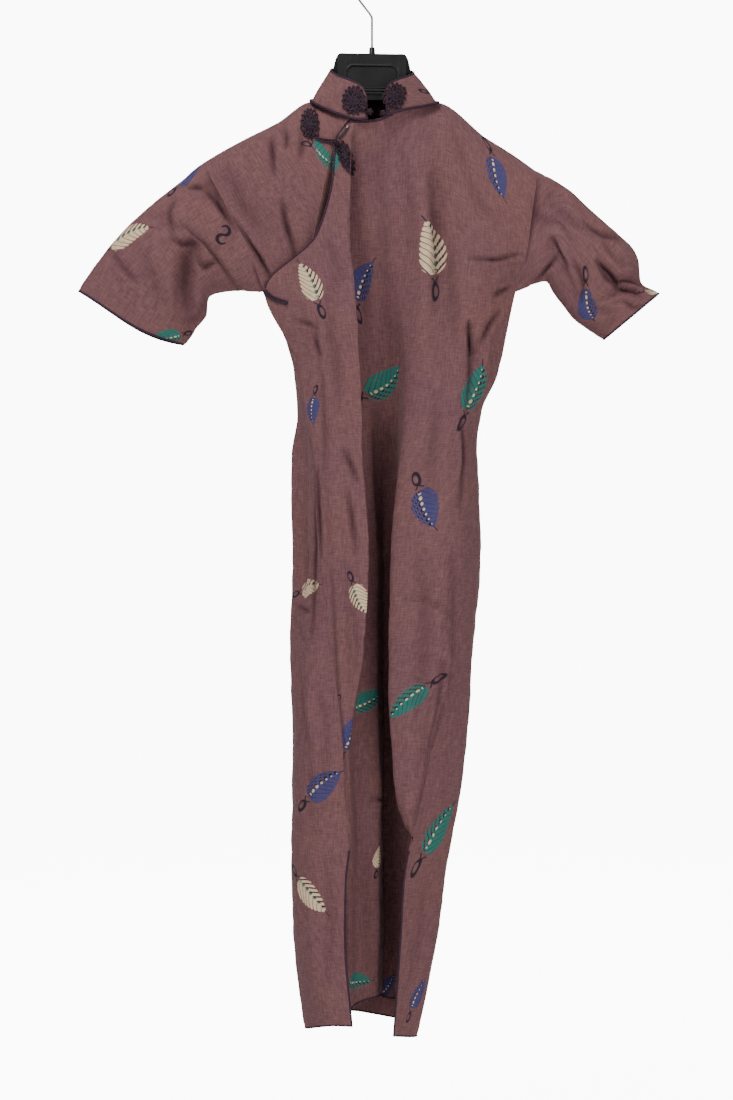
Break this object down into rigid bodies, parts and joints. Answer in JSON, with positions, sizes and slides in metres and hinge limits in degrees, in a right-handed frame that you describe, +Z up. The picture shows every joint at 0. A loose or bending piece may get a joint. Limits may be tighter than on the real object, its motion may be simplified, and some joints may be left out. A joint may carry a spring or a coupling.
{
  "type": "cheongsam dress on hanger",
  "caption": "Long cheongsam with stand collar, slanting frogged opening, short sleeves and side slits, hanging on a broad moulded hanger with a wire hook.",
  "frame": {"origin": "inner top of the hanger's wire hook, where a rod or peg holds it", "axes": "+X to the right as the dress is seen from the front, +Y from the front to the back, +Z up"},
  "size_m": [0.7639, 0.1212, 1.3914],
  "materials": {
    "cloth": "slubbed cross-woven cloth, plum brown, with scattered leaf print",
    "binding": "dark purple bias binding and knotted cord",
    "hanger_plastic": "satin black moulded plastic",
    "steel": "bright plated wire"
  },
  "bodies": {
    "root": {"front_panel": "cloth", "back_panel": "cloth", "underlap": "cloth", "sleeve_left": "cloth", "sleeve_right": "cloth", "collar": "cloth", "binding_collar": "binding", "binding_neck": "binding", "binding_opening": "binding", "binding_front_hem": "binding", "binding_back_hem": "binding", "binding_cuff_left": "binding", "binding_cuff_right": "binding", "frog_collar_left": "binding", "frog_collar_right": "binding", "frog_opening_left": "binding", "frog_opening_right": "binding", "ball_knot_left": "binding", "ball_knot_right": "binding", "loop_underarm": "binding", "press_stud": "steel", "hanger_body": "hanger_plastic", "ferrule": "hanger_plastic", "hook_wire": "steel"}
  },
  "joints": []
}
